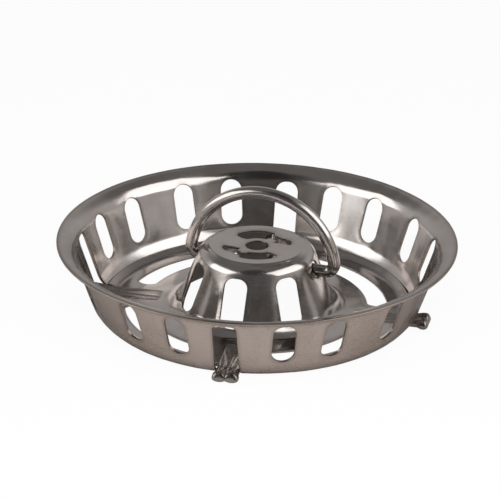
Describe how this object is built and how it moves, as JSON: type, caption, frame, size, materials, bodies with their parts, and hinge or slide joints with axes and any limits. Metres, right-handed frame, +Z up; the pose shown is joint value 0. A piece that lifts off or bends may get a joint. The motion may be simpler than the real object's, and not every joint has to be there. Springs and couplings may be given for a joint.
{
  "type": "sink strainer basket",
  "caption": "Round stainless sink strainer basket with slotted cone wall, domed slotted floor, lugs below and a folding wire bail.",
  "frame": {"origin": "on the basket's axis, on the surface that the lugs stand on", "axes": "+Z up along the basket's axis, X along the bail's hinge axis, -Y towards the front"},
  "size_m": [0.0838, 0.0838, 0.0277],
  "materials": {
    "cup_steel": "satin",
    "plate_steel": "polished",
    "wire_steel": "polished"
  },
  "bodies": {
    "basket": {"slotted_cup": "cup_steel", "dome_plate": "plate_steel"},
    "handle": {"bail": "wire_steel"}
  },
  "joints": [
    {"name": "bail_fold", "type": "hinge", "parent": "basket", "child": "handle", "pos_m": [0, 0, 0.0107], "axis": [1, 0, 0], "range_deg": [-90, 90]}
  ]
}
